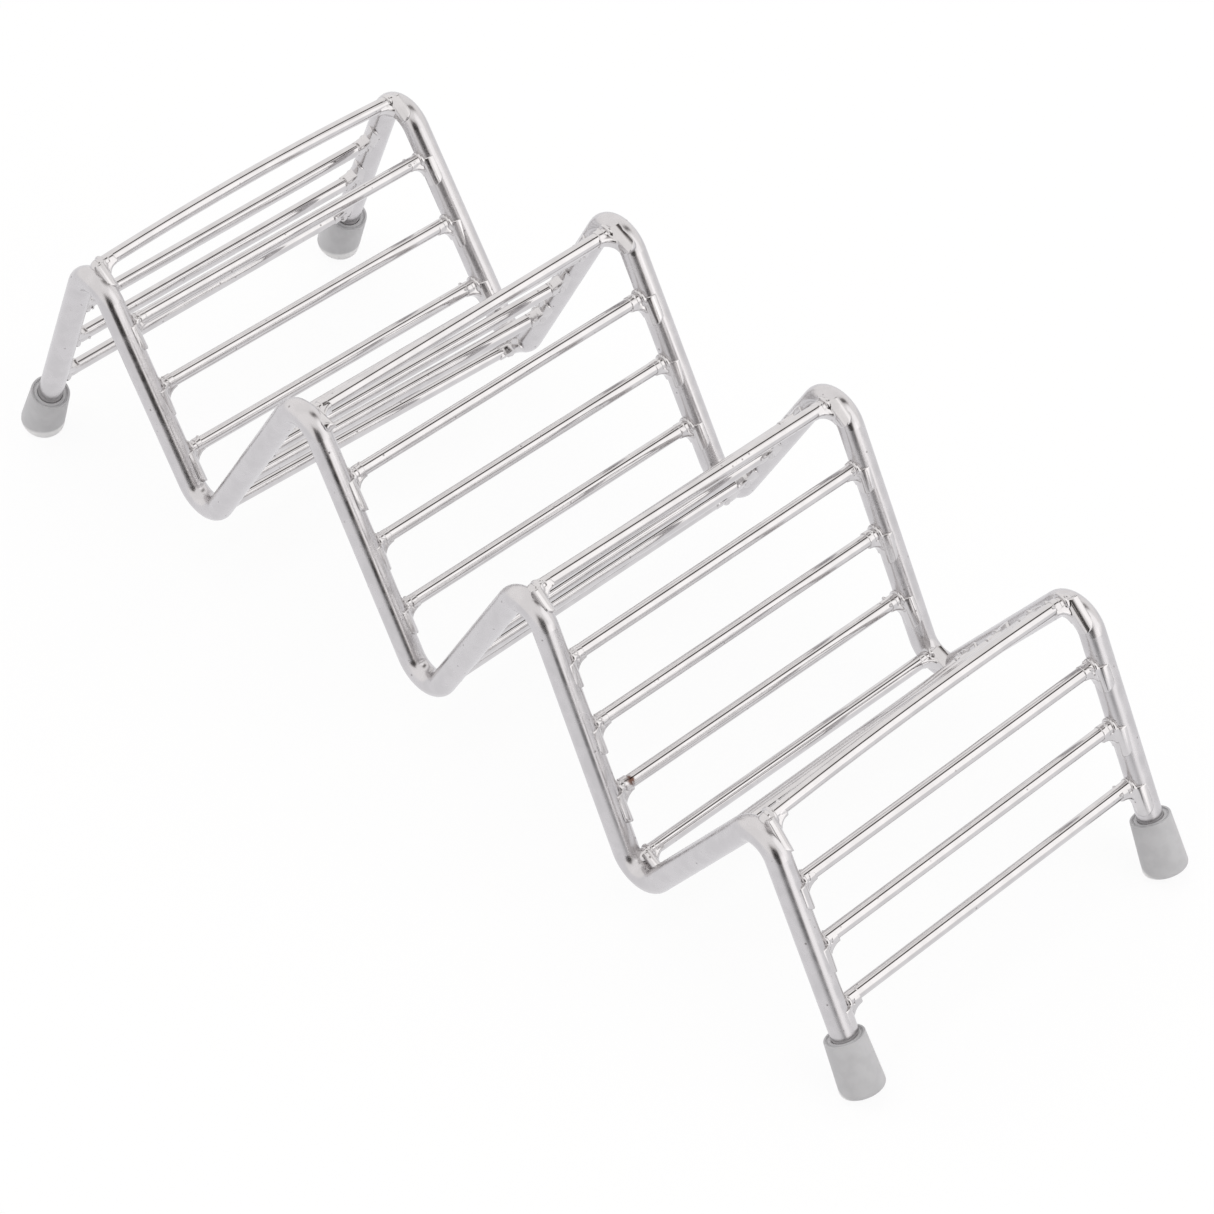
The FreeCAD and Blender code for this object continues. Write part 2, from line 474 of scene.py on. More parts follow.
def clear_selection() -> None:
    """Leave nothing selected in object mode."""
    if bpy.context.object and bpy.context.object.mode != "OBJECT":
        bpy.ops.object.mode_set(mode="OBJECT")
    bpy.ops.object.select_all(action="DESELECT")


def make_active(piece: bpy.types.Object) -> None:
    """Select one object only and make it the active one.

    Args:
        piece: The object.
    """
    clear_selection()
    piece.select_set(True)
    bpy.context.view_layer.objects.active = piece


def settle(piece: bpy.types.Object) -> None:
    """Put the object's own place, turn and size into its mesh.

    Args:
        piece: The object.
    """
    make_active(piece)
    bpy.ops.object.transform_apply(location=True, rotation=True, scale=True)


def pick(piece: bpy.types.Object, mode: str, wanted: list[int]) -> None:
    """Go into edit mode with only some faces or edges selected.

    Args:
        piece: The object.
        mode: FACE or EDGE.
        wanted: The numbers of the wanted ones.
    """
    make_active(piece)
    bpy.ops.object.mode_set(mode="EDIT")
    bpy.ops.mesh.select_mode(type=mode)
    bpy.ops.mesh.select_all(action="DESELECT")
    bpy.ops.object.mode_set(mode="OBJECT")
    parts = piece.data.polygons if mode == "FACE" else piece.data.edges
    for index in wanted:
        parts[index].select = True
    bpy.ops.object.mode_set(mode="EDIT")


def pick_faces(piece: bpy.types.Object, test: Callable[[Vector, Vector], bool]) -> None:
    """Go into edit mode with only some faces selected.

    Args:
        piece: The object.
        test: Tells from a face's middle and its normal whether it is wanted.
    """
    pick(piece, "FACE", [face.index for face in piece.data.polygons if test(face.center, face.normal)])


def round_edges(piece: bpy.types.Object, test: Callable[[Vector, Vector], bool], offset: float,
                segments: int) -> None:
    """Bevel some edges to a round.

    Args:
        piece: The object.
        test: Tells from an edge's two ends whether it is wanted.
        offset: How far the round reaches from the edge.
        segments: How many faces make it up.
    """
    points = piece.data.vertices
    pick(piece, "EDGE", [
        edge.index for edge in piece.data.edges
        if test(points[edge.vertices[0]].co, points[edge.vertices[1]].co)])
    bpy.ops.mesh.bevel(offset=offset, segments=segments, profile=0.5)
    bpy.ops.object.mode_set(mode="OBJECT")


def edit_whole(piece: bpy.types.Object) -> None:
    """Go into edit mode with the whole piece selected.

    Args:
        piece: The object.
    """
    make_active(piece)
    bpy.ops.object.mode_set(mode="EDIT")
    bpy.ops.mesh.select_all(action="SELECT")


def trim(piece: bpy.types.Object, point: Place, normal: Place) -> None:
    """Cut off what lies behind a plane and close the cut.

    Args:
        piece: The object.
        point: A point on the plane.
        normal: The plane's normal, on the side that is kept.
    """
    edit_whole(piece)
    bpy.ops.mesh.bisect(plane_co=point, plane_no=normal, use_fill=True, clear_inner=True)
    bpy.ops.object.mode_set(mode="OBJECT")


def apply_modifier(piece: bpy.types.Object, kind: str, **settings: object) -> None:
    """Add a modifier and apply it.

    Args:
        piece: The object.
        kind: Blender's name for the modifier's type.
        settings: Attributes to set on it.
    """
    make_active(piece)
    modifier = piece.modifiers.new(kind.lower(), kind)
    for key, value in settings.items():
        setattr(modifier, key, value)
    bpy.ops.object.modifier_apply(modifier=modifier.name)


def combine(piece: bpy.types.Object, tool: bpy.types.Object, operation: str) -> None:
    """Cut a piece with a tool, which is used up.

    Args:
        piece: The piece.
        tool: The tool.
        operation: DIFFERENCE or INTERSECT.
    """
    apply_modifier(piece, "BOOLEAN", operation=operation, object=tool, solver="EXACT")
    bpy.data.objects.remove(tool)


def join(pieces: list[bpy.types.Object], name: str) -> bpy.types.Object:
    """Join objects into one whose own place is the origin.

    Args:
        pieces: The objects.
        name: The new name.

    Returns:
        The joined object.
    """
    clear_selection()
    for piece in pieces:
        piece.select_set(True)
    bpy.context.view_layer.objects.active = pieces[0]
    bpy.ops.object.join()
    joined = bpy.context.object
    joined.name = name
    settle(joined)
    return joined


def copy_piece(piece: bpy.types.Object, place: Matrix) -> bpy.types.Object:
    """Copy an object together with its mesh.

    Args:
        piece: The object.
        place: Where the copy goes.

    Returns:
        The copy.
    """
    twin = piece.copy()
    twin.data = piece.data.copy()
    bpy.context.scene.collection.objects.link(twin)
    twin.matrix_world = place
    return twin


# layout of the rods and bars, in millimetres


@dataclass(frozen=True)
class Seat:
    """Where a bar meets a side rod, and which way its weld is drawn out."""

    place: Vector
    along: Vector
    row: Row
    above_rod: float = 0.0

    def matrix(self, rod_radius: float) -> Matrix:
        """Frame of the weld: X along the rod, Y inwards along the bar, origin on the rod's surface.

        Args:
            rod_radius: Radius of the side rod.

        Returns:
            The frame as a matrix.
        """
        inwards = Vector((0.0, -self.row.value, 0.0))
        across = self.along.cross(inwards)
        origin = self.place + inwards * rod_radius
        return Matrix((
            (self.along.x, inwards.x, across.x, origin.x),
            (self.along.y, inwards.y, across.y, origin.y),
            (self.along.z, inwards.z, across.z, origin.z),
            (0.0, 0.0, 0.0, 1.0)))


@dataclass(frozen=True)
class RodLayout:
    """One hand-bent side rod: its sharp corners and the places of its bars."""

    row: Row
    corners: tuple[tuple[float, float], ...]
    peak_bars: tuple[tuple[float, float], ...]
    valley_bars: tuple[tuple[float, float], ...]
    middle_y: float = 30.9
    bend_radius: float = 4.2
    tail_reach: float = 3.3

    def corner(self, i: int) -> Vector:
        """A sharp corner.

        Args:
            i: Its number from the left, the leg ends included.

        Returns:
            The corner on the rod's middle line.
        """
        x, z = self.corners[i]
        return Vector((x, self.row.value * self.middle_y, z))

    def run_length(self, i: int) -> float:
        """Length of a straight run between its sharp corners.

        Args:
            i: The run's number from the left.

        Returns:
            The length.
        """
        return (self.corner(i + 1) - self.corner(i)).length

    def seat_on_run(self, i: int, below_peak: float) -> Seat:
        """Seat of a bar on a straight run.

        Args:
            i: The run's number from the left.
            below_peak: Distance from the run's upper corner.

        Returns:
            The seat.
        """
        left, right = self.corner(i), self.corner(i + 1)
        peak, end = (left, right) if left.z > right.z else (right, left)
        place = peak + (end - peak).normalized() * below_peak
        return Seat(place, (right - left).normalized(), self.row)

    def seat_in_bend(self, i: int) -> Seat:
        """Seat of the bar in a bend.

        Args:
            i: The bend's corner number from the left.

        Returns:
            The seat.
        """
        corner = self.corner(i)
        back = (self.corner(i - 1) - corner).normalized()
        ahead = (self.corner(i + 1) - corner).normalized()
        inwards = (back + ahead).normalized()
        rightwards = (ahead - back).normalized()
        half_angle = back.angle(ahead) / 2
        middle = corner + inwards * (self.bend_radius / math.sin(half_angle) - self.bend_radius)
        bars = self.peak_bars if i % 2 else self.valley_bars
        right, up = bars[(i - 1) // 2]
        place = middle + Vector((right, 0.0, up))
        half_turn = (right + self.tail_reach) / self.bend_radius / 2
        chord = rightwards * math.cos(half_turn) + inwards * math.sin(half_turn)
        tail = middle + chord * (2 * self.bend_radius * math.sin(half_turn))
        return Seat(place, (tail - place).normalized(), self.row, up)

    def leg(self, side: Side) -> tuple[Vector, Vector]:
        """An outer leg.

        Args:
            side: Which one.

        Returns:
            Its lower end and the direction up it.
        """
        last = len(self.corners) - 1
        end, peak = (0, 1) if side is Side.LEFT else (last, last - 1)
        return self.corner(end), (self.corner(peak) - self.corner(end)).normalized()


@dataclass(frozen=True)
class Layout:
    """Both side rods with the seats of all the bars."""

    rods: tuple[RodLayout, ...] = (
        RodLayout(
            Row.FRONT,
            ((-93.39, 3.16), (-76.2, 48.4), (-51.5, 8.9), (-25.3, 54.3), (0.5, 9.2),
             (24.4, 52.4), (47.4, 4.7), (73.2, 41.6), (93.33, 3.01)),
            ((-0.6, 1.7), (0.0, -0.7), (-0.3, 1.3), (-0.5, 1.7)),
            ((1.5, -0.7), (1.2, -1.2), (-0.9, 2.3))),
        RodLayout(
            Row.BACK,
            ((-93.38, 3.15), (-76.6, 46.5), (-49.4, 5.9), (-25.0, 54.0), (-0.2, 8.7),
             (23.0, 50.9), (45.9, 4.6), (73.8, 44.1), (93.42, 3.05)),
            ((-0.6, 1.6), (0.0, 0.2), (0.0, 0.5), (-1.0, 1.9)),
            ((0.4, -0.8), (1.2, -1.2), (0.0, 2.3))),
    )
    below_peaks: tuple[float, ...] = (16.6, 12.8, 14.5, 15.0, 14.5, 14.3, 12.0, 11.8)
    above_ends: tuple[float, ...] = (9.8, 12.8, 16.7, 14.7, 12.3, 15.6, 13.0, 12.2)
    levels: int = 3

    def seats(self, rod: RodLayout) -> list[Seat]:
        """All the seats on one rod: those on the runs first, then those in the bends.

        Args:
            rod: The rod.

        Returns:
            The seats.
        """
        seats = []
        for i, (below, above) in enumerate(zip(self.below_peaks, self.above_ends)):
            length = sum(each.run_length(i) for each in self.rods) / len(self.rods)
            pitch = (length - below - above) / (self.levels - 1)
            seats += [rod.seat_on_run(i, below + level * pitch) for level in range(self.levels)]
        return seats + [rod.seat_in_bend(i) for i in range(1, len(rod.corners) - 1)]


# side rods and cross bars


@dataclass(frozen=True)
class BareSteel:
    """The side rods and cross bars, which keep their constructed shapes."""

    rod: bpy.types.Material
    bar: bpy.types.Material

    def dress(self, nodes: dict[str, bpy.types.Object]) -> None:
        """Give every rod and bar its finish.

        Args:
            nodes: The construction's nodes by name.
        """
        for name, node in nodes.items():
            if name.startswith(("weld", "foot")):
                continue
            node.data.materials.clear()
            node.data.materials.append(self.rod if name.startswith("side_rod") else self.bar)
            LOG.info("%s: %s", name, node.data.materials[0].name)


# weld beads


class BeadKind(Enum):
    """The three beads that the welder's hand keeps making."""

    PLAIN = "plain"
    LUMPY = "lumpy"
    LONG = "long"


LUMP_COUNTS = {BeadKind.PLAIN: 1, BeadKind.LUMPY: 5, BeadKind.LONG: 3}
BEAD_SHARES = {BeadKind.PLAIN: 5, BeadKind.LUMPY: 3, BeadKind.LONG: 2}


class Run(Enum):
    """How the weld has run; the value is how far round the rod its tongue has slid, in degrees."""

    STRAIGHT = 0.0
    ONTO_FRONT_ROD = 34.0
    ONTO_BACK_ROD = -34.0

    @classmethod
    def at(cls, seat: Seat) -> "Run":
        """Where the rod falls away to the right the metal has run onto its upper side.

        Args:
            seat: The weld's seat.

        Returns:
            How its metal has run.
        """
        if seat.along.z > 0.2:
            return cls.STRAIGHT
        return cls.ONTO_FRONT_ROD if seat.row is Row.FRONT else cls.ONTO_BACK_ROD


@dataclass(frozen=True)
class WeldBead:
    """One bead at a bar's end, modelled in millimetres around the seat.

    X runs along the rod, Y along the bar away from the rod, and the origin is on the rod.
    """

    rod_radius: float = 2.0
    bar_radius: float = 1.1
    body_place: Place = (0.0, -0.1, 0.0)
    body_radii: Place = (1.16, 1.05, 1.16)
    collar_height: float = 0.08
    collar_gap: float = 0.1
    collar_tube: float = 0.34
    sleeve_start: float = 0.9
    sleeve_end: float = 2.0
    sleeve_swell: float = 0.1
    sleeve_lip: float = 0.12
    web_start: float = 0.3
    web_width: float = 2.05
    web_height: float = 2.25
    web_sunk: float = 0.9
    web_reach: float = 3.3
    web_hollow: float = 2.15
    web_foot: float = 0.1
    web_rounding: float = 0.45
    tongue_length: float = 4.6
    tongue_extra: float = 0.7
    tongue_width: float = 2.8
    tongue_height: float = 2.4
    tongue_lift: float = 0.4
    tongue_round: float = 1.5
    buried: float = 1.6
    lump_radii: tuple[float, float] = (0.2, 0.38)
    grain: float = 0.112
    share_kept: float = 0.38

    def ball(self, place: Place, radii: Place) -> bpy.types.Object:
        """A lump of melted metal.

        Args:
            place: Its middle.
            radii: Its half sizes.

        Returns:
            The lump.
        """
        clear_selection()
        bpy.ops.mesh.primitive_uv_sphere_add(
            segments=24, ring_count=14, radius=1.0, location=place, rotation=(QUARTER_TURN, 0.0, 0.0))
        lump = bpy.context.object
        lump.scale = (radii[0], radii[2], radii[1])
        settle(lump)
        return lump

    def ring(self, height: float, radius: float, tube: float) -> bpy.types.Object:
        """A ring of metal round the bar.

        Args:
            height: Its distance from the rod.
            radius: Radius of its middle line.
            tube: Radius of its section.

        Returns:
            The ring.
        """
        clear_selection()
        bpy.ops.mesh.primitive_torus_add(
            location=(0.0, height, 0.0), rotation=(QUARTER_TURN, 0.0, 0.0),
            major_radius=radius, minor_radius=tube, major_segments=36, minor_segments=12)
        return bpy.context.object

    def sleeve(self) -> bpy.types.Object:
        """The swelling of melted metal round the bar, tapered at both ends.

        Returns:
            The sleeve.
        """
        clear_selection()
        bpy.ops.mesh.primitive_cylinder_add(
            vertices=40, radius=self.bar_radius + self.sleeve_swell,
            depth=self.sleeve_end - self.sleeve_start, rotation=(QUARTER_TURN, 0.0, 0.0),
            location=(0.0, (self.sleeve_start + self.sleeve_end) / 2, 0.0))
        sleeve = bpy.context.object
        settle(sleeve)
        round_edges(sleeve, lambda a, b: abs(a.y - b.y) < SAME, self.sleeve_swell * 1.6, 3)
        return sleeve

    def web(self) -> bpy.types.Object:
        """The concave web from the bar's side down to the rod.

        Returns:
            The web.
        """
        clear_selection()
        start = self.bar_radius * self.web_start
        bpy.ops.mesh.primitive_cube_add(
            size=1.0, location=((start + self.web_reach) / 2, (self.web_height - self.web_sunk) / 2, 0.0))
        web = bpy.context.object
        web.scale = (self.web_reach - start, self.web_height + self.web_sunk, self.web_width)
        settle(web)
        bpy.ops.mesh.primitive_cylinder_add(
            vertices=96, radius=self.web_hollow, depth=self.web_width * 2,
            location=(self.web_reach, self.web_hollow + self.web_foot, 0.0))
        hollow = bpy.context.object
        settle(hollow)
        combine(web, hollow, "DIFFERENCE")

        def shows(a: Vector, b: Vector) -> bool:
            """Tell the edges that show beside the web from those sunk in the rod or the bar."""
            return abs(a.z - b.z) < SAME and min(a.y, b.y) > -0.2 and min(a.x, b.x) > start + 0.1

        round_edges(web, shows, self.web_rounding, 4)
        return web

    def tongue_block(self, length: float) -> bpy.types.Object:
        """A block with a half-round nose, as long and wide as the tongue.

        Args:
            length: How far it reaches from the bar's middle line.

        Returns:
            The block.
        """
        clear_selection()
        bpy.ops.mesh.primitive_cube_add(size=1.0, location=(length / 2, 0.0, 0.0))
        block = bpy.context.object
        block.scale = (length, self.tongue_height, self.tongue_width)
        settle(block)
        round_edges(
            block, lambda a, b: min(a.x, b.x) > length - SAME and abs(a.y - b.y) > self.tongue_height / 2,
            self.tongue_width * 0.49, 10)
        return block

    def wrap(self, block: bpy.types.Object, lift: float) -> bpy.types.Object:
        """Cut a block down to a skin over the round rod that thins out to its sides.

        Args:
            block: The block.
            lift: The skin's thickness along its middle.

        Returns:
            The same block.
        """
        bpy.ops.mesh.primitive_cylinder_add(
            vertices=128, radius=self.tongue_round, depth=self.tongue_length * 4,
            location=(0.0, lift - self.tongue_round, 0.0), rotation=(0.0, QUARTER_TURN, 0.0))
        skin = bpy.context.object
        settle(skin)
        combine(block, skin, "INTERSECT")
        return block

    def slide(self, piece: bpy.types.Object, degrees: float) -> bpy.types.Object:
        """Turn a piece round the side rod's middle line.

        Args:
            piece: The piece.
            degrees: How far, from the bar towards positive Z.

        Returns:
            The same piece.
        """
        edit_whole(piece)
        bpy.ops.transform.rotate(
            value=-math.radians(degrees), orient_axis="X", center_override=(0.0, -self.rod_radius, 0.0))
        bpy.ops.object.mode_set(mode="OBJECT")
        return piece

    def lumps(self, kind: BeadKind) -> list[bpy.types.Object]:
        """Small irregular lumps on the upper side of the bar's end.

        Args:
            kind: Which bead.

        Returns:
            The lumps.
        """
        dice = random.Random(kind.value)
        highest = 2.6 if kind is BeadKind.LONG else 1.0
        lumps = []
        for _ in range(LUMP_COUNTS[kind]):
            turn = math.radians(180 + dice.uniform(-80, 80))
            size = dice.uniform(*self.lump_radii)
            away = self.bar_radius + size * 0.2
            height = dice.uniform(0.1, highest)
            lumps.append(self.ball(
                (away * math.cos(turn), height, away * math.sin(turn)),
                (size, size * dice.uniform(0.7, 1.1), size * dice.uniform(0.8, 1.3))))
        return lumps

    def melt(self, piece: bpy.types.Object) -> None:
        """Run a piece's parts into one smooth skin with no more faces than it needs.

        Args:
            piece: The piece.
        """
        apply_modifier(piece, "REMESH", mode="VOXEL", voxel_size=self.grain)
        apply_modifier(piece, "SMOOTH", factor=0.5, iterations=3)
        apply_modifier(piece, "DECIMATE", ratio=self.share_kept)

    def model(self, kind: BeadKind, run: Run) -> bpy.types.Object:
        """Model one bead.

        Args:
            kind: Which bead.
            run: How its metal has run.

        Returns:
            The bead, at the origin and in millimetres.
        """
        length = self.tongue_length + (self.tongue_extra if kind is BeadKind.LONG else 0.0)
        parts = [
            self.slide(self.wrap(self.tongue_block(length), self.tongue_lift), run.value),
            self.web(),
            self.sleeve(),
            self.ball(self.body_place, self.body_radii),
            self.ring(self.collar_height, self.bar_radius + self.collar_gap, self.collar_tube),
            self.ring(self.sleeve_end, self.bar_radius, self.sleeve_lip),
            *self.lumps(kind),
        ]
        bead = join(parts, f"bead_{kind.value}_{run.name.lower()}")
        self.melt(bead)
        trim(bead, (0.0, -self.buried, 0.0), (0.0, 1.0, 0.0))
        return bead


@dataclass(frozen=True)
class WeldBeads:
    """All the beads on one side rod as one piece."""

    layout: Layout
    bead: WeldBead = WeldBead()
    pad_radius: float = 1.4
    pad_height: float = 1.1
    pad_sunk: float = 0.5
    pad_shift: float = 0.3
    pad_growth: float = 0.28
    stretches: tuple[tuple[float, float], ...] = ((0.88, 1.08), (0.96, 1.1), (0.97, 1.04))
    sway: float = 4.0
    lump_size: float = 1.5
    lump_height: float = 0.1
    seed: int = 11

    def pad(self, seat: Seat) -> bpy.types.Object:
        """Metal that fills the step where a bend's bar lies above or below the rod's middle.

        Args:
            seat: The bar's seat.

        Returns:
            The pad.
        """
        inwards = Vector((0.0, -seat.row.value, 0.0))
        surface = seat.place + inwards * (self.bead.rod_radius - self.pad_sunk)
        middle = surface - Vector((0.0, 0.0, seat.above_rod * self.pad_shift))
        height = self.pad_height + abs(seat.above_rod) * self.pad_growth
        pad = self.bead.ball(tuple(middle), (self.pad_radius, self.pad_radius, height))
        self.bead.melt(pad)
        return pad

    def build(self, models: dict[tuple[BeadKind, Run], bpy.types.Object], rod: RodLayout,
              finish: bpy.types.Material) -> bpy.types.Object:
        """Copy the beads to a rod's seats and roughen them.

        Args:
            models: The modelled beads.
            rod: The rod.
            finish: The weld metal.

        Returns:
            The finished piece.
        """
        dice = random.Random(self.seed + rod.row.value)
        copies = []
        for seat in self.layout.seats(rod):
            kind = dice.choices(list(BEAD_SHARES), list(BEAD_SHARES.values()))[0]
            stretch = Matrix.Diagonal((*(dice.uniform(*limits) for limits in self.stretches), 1.0))
            sway = Matrix.Rotation(math.radians(dice.uniform(-self.sway, self.sway)), 4, "Y")
            place = seat.matrix(self.bead.rod_radius) @ sway @ stretch
            copies.append(copy_piece(models[kind, Run.at(seat)], place))
            if seat.above_rod:
                copies.append(self.pad(seat))
        beads = join(copies, f"weld_beads_{rod.row.name.lower()}")
        clouds = bpy.data.textures.new("weld_lumps", "CLOUDS")
        clouds.noise_scale = self.lump_size
        clouds.noise_depth = 2
        apply_modifier(
            beads, "DISPLACE", texture=clouds, texture_coords="GLOBAL", strength=self.lump_height,
            mid_level=0.5)
        beads.scale = (MM, MM, MM)
        settle(beads)
        bpy.ops.object.shade_smooth()
        beads.data.materials.append(finish)
        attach(beads, "root")
        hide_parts(f"weld_fillets_{rod.row.name.lower()}")
        return beads


# rubber caps


@dataclass(frozen=True)
class RubberCaps:
    """Four tapered caps with a double ring at the mouth and a sole pressed flat."""

    length: float = 9.2
    top_radius: float = 3.15
    sole_radius: float = 3.545
    sole_rounding: float = 0.9
    squash: float = 0.35
    rim: float = 0.38
    step: float = 0.22
    lip: float = 0.6
    rod_gap: float = 0.03
    mouth_depth: float = 1.0
    mouth_rounding: float = 0.1
    rod_radius: float = 2.0

    def upright(self) -> bpy.types.Object:
        """One cap standing upright with its sole's middle at the origin, in millimetres.

        Returns:
            The cap.
        """
        clear_selection()
        bpy.ops.mesh.primitive_cone_add(
            vertices=64, radius1=self.sole_radius, radius2=self.top_radius, depth=self.length,
            location=(0.0, 0.0, self.length / 2))
        cap = bpy.context.object
        settle(cap)
        round_edges(cap, lambda a, b: max(a.z, b.z) < SAME, self.sole_rounding, 6)
        pick_faces(cap, lambda middle, normal: normal.z > 0.9)
        bore_inset = self.top_radius - self.rim - self.step - self.rod_radius - self.rod_gap
        rings = (self.rim, -self.step), (self.step, self.step * self.lip), (bore_inset, -self.length / 2)
        for inset, rise in rings:
            bpy.ops.mesh.inset(thickness=inset)
            bpy.ops.mesh.extrude_region_move(TRANSFORM_OT_translate={"value": (0.0, 0.0, rise)})
        bpy.ops.object.mode_set(mode="OBJECT")
        mouth = self.length - self.mouth_depth
        round_edges(
            cap, lambda a, b: abs(a.z - b.z) < SAME and min(a.z, b.z) > mouth, self.mouth_rounding, 3)
        return cap

    def build(self, rod: RodLayout, side: Side, upright: bpy.types.Object,
              finish: bpy.types.Material) -> bpy.types.Object:
        """Put a cap on one leg.

        Args:
            rod: The side rod.
            side: Which leg.
            upright: The modelled cap.
            finish: The rubber.

        Returns:
            The finished piece.
        """
        end, leg = rod.leg(side)
        lean = math.acos(leg.z)
        edge = self.sole_radius - self.sole_rounding
        height = edge * math.sin(lean) + self.sole_rounding * (1 - leg.z) - self.squash
        sole = end - leg * ((end.z - height) / leg.z)
        turn = Matrix.Rotation(-side.value * lean, 4, "Y")
        cap = copy_piece(upright, Matrix.Translation(sole) @ turn)
        settle(cap)
        trim(cap, (0.0, 0.0, 0.0), (0.0, 0.0, 1.0))
        cap.scale = (MM, MM, MM)
        settle(cap)
        bpy.ops.object.shade_smooth_by_angle(angle=math.radians(40))
        cap.name = f"rubber_cap_{rod.row.name.lower()}_{side.name.lower()}"
        cap.data.materials.append(finish)
        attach(cap, "root")
        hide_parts(f"foot_{rod.row.name.lower()}_{side.name.lower()}")
        return cap


# studio


@dataclass
class Studio:
    """White floor, surround, lamp and camera."""

    camera_place: Place = (0.45708, -0.39636, 0.62471)
    azimuth: float = 48.687
    elevation: float = 45.602
    roll: float = -1.231
    lens: float = 167.92
    sensor_width: float = 36.0
    strip_x: float = 0.04
    strip_depth: float = 0.93
    upright_depth: float = 0.96
    behind_camera: tuple[float, float] = (0.777, -0.629)
    room_level: float = 1.1
    wall_level: float = 0.45
    lamp_place: Place = (0.62, 0.35, 0.5)
    lamp_size: tuple[float, float] = (0.55, 0.9)
    lamp_energy: float = 0.55
    floor_size: float = 6.0
    # floor_middle and floor_dark_side place the painted shade on the mirrored floor; mirrored_depth sets
    # how deep it is.
    floor_middle: tuple[float, float] = (0.01, -0.03)
    floor_dark_side: tuple[float, float] = (0.875, -0.485)
    floor_glow: float = 0.88
    mirrored_level: float = 0.97
    mirrored_depth: float = 0.78

    def camera(self) -> None:
        """Place the camera as the photograph was taken."""
        azimuth, elevation = math.radians(self.azimuth), math.radians(self.elevation)
        ahead = Vector((
            -math.sin(azimuth) * math.cos(elevation),
            math.cos(azimuth) * math.cos(elevation),
            -math.sin(elevation)))
        level = Vector((math.cos(azimuth), math.sin(azimuth), 0.0))
        turn = Matrix.Rotation(-math.radians(self.roll), 3, ahead)
        right = turn @ level
        up = right.cross(ahead)
        data = bpy.data.cameras.new("camera")
        data.lens = self.lens
        data.sensor_width = self.sensor_width
        data.clip_start = 0.01
        camera = bpy.data.objects.new("camera", data)
        camera.matrix_world = Matrix((
            (right.x, up.x, -ahead.x, self.camera_place[0]),
            (right.y, up.y, -ahead.y, self.camera_place[1]),
            (right.z, up.z, -ahead.z, self.camera_place[2]),
            (0.0, 0.0, 0.0, 1.0)))
        bpy.context.scene.collection.objects.link(camera)
        bpy.context.scene.camera = camera

    def strip(self, sheet: NodeSheet, x: object, y: object, z: object) -> bpy.types.NodeSocket:
        """Dark strip over the object, between the lamps.

        Args:
            sheet: The world's node sheet.
            x: X of the direction looked in.
            y: Its Y.
            z: Its Z.

        Returns:
            1 in the strip and 0 elsewhere.
        """
        beside = sheet.math("ABSOLUTE", sheet.math("SUBTRACT", x, self.strip_x))
        return sheet.product(
            sheet.ramp(beside, 0.08, 0.2, 1.0, 0.0), sheet.ramp(z, 0.15, 0.4), sheet.ramp(y, 0.05, 0.35),
            sheet.ramp(y, 0.6, 0.85, 1.0, 0.0))

    def upright(self, sheet: NodeSheet, x: object, y: object, z: object) -> bpy.types.NodeSocket:
        """Dark upright behind the camera.

        Args:
            sheet: The world's node sheet.
            x: X of the direction looked in.
            y: Its Y.
            z: Its Z.

        Returns:
            1 in the upright and 0 elsewhere.
        """
        facing = sheet.cosine(x, y, self.behind_camera)
        return sheet.product(
            sheet.ramp(facing, 0.88, 0.965), sheet.ramp(z, 0.55, 0.75, 1.0, 0.0), sheet.ramp(z, -0.06, 0.0))

    def surround(self) -> None:
        """A bright room for the steel to mirror, with a dark strip overhead and one behind the camera.

        A bright wall off the right-hand end is mirrored by the runs that fall to the right.
        """
        world = bpy.data.worlds.new("surround")
        world.use_nodes = True
        bpy.context.scene.world = world
        world.node_tree.nodes.clear()
        sheet = NodeSheet(world.node_tree)
        x, y, z = sheet.split(sheet.add("ShaderNodeTexCoord").outputs["Generated"])
        strip = sheet.product(self.strip(sheet, x, y, z), self.strip_depth)
        upright = sheet.product(self.upright(sheet, x, y, z), self.upright_depth)
        level = sheet.math("SUBTRACT", 1.0, sheet.math("MAXIMUM", strip, upright))
        tint = sheet.mix(level, (0.80, 0.72, 0.68), (1.0, 0.985, 0.98))
        wall = sheet.product(sheet.ramp(x, 0.88, 0.96), self.wall_level)
        strength = sheet.math("ADD", sheet.product(level, self.room_level), wall)
        room = sheet.result("ShaderNodeBackground", tint, strength)
        white = sheet.result("ShaderNodeBackground", (1.0, 1.0, 1.0))
        by_camera = sheet.add("ShaderNodeLightPath").outputs["Is Camera Ray"]
        seen = sheet.result("ShaderNodeMixShader", by_camera, room, white)
        sheet.feed(seen, sheet.add("ShaderNodeOutputWorld").inputs[0])

    def lamp(self) -> None:
        """One large soft lamp, high behind the right-hand end."""
        data = bpy.data.lights.new("soft_lamp", "AREA")
        data.shape = "RECTANGLE"
        data.size, data.size_y = self.lamp_size
        data.energy = self.lamp_energy
        lamp = bpy.data.objects.new("soft_lamp", data)
        place = Vector(self.lamp_place)
        lamp.location = place
        lamp.rotation_euler = (-place).to_track_quat("-Z", "Y").to_euler()
        lamp.visible_camera = False
        bpy.context.scene.collection.objects.link(lamp)

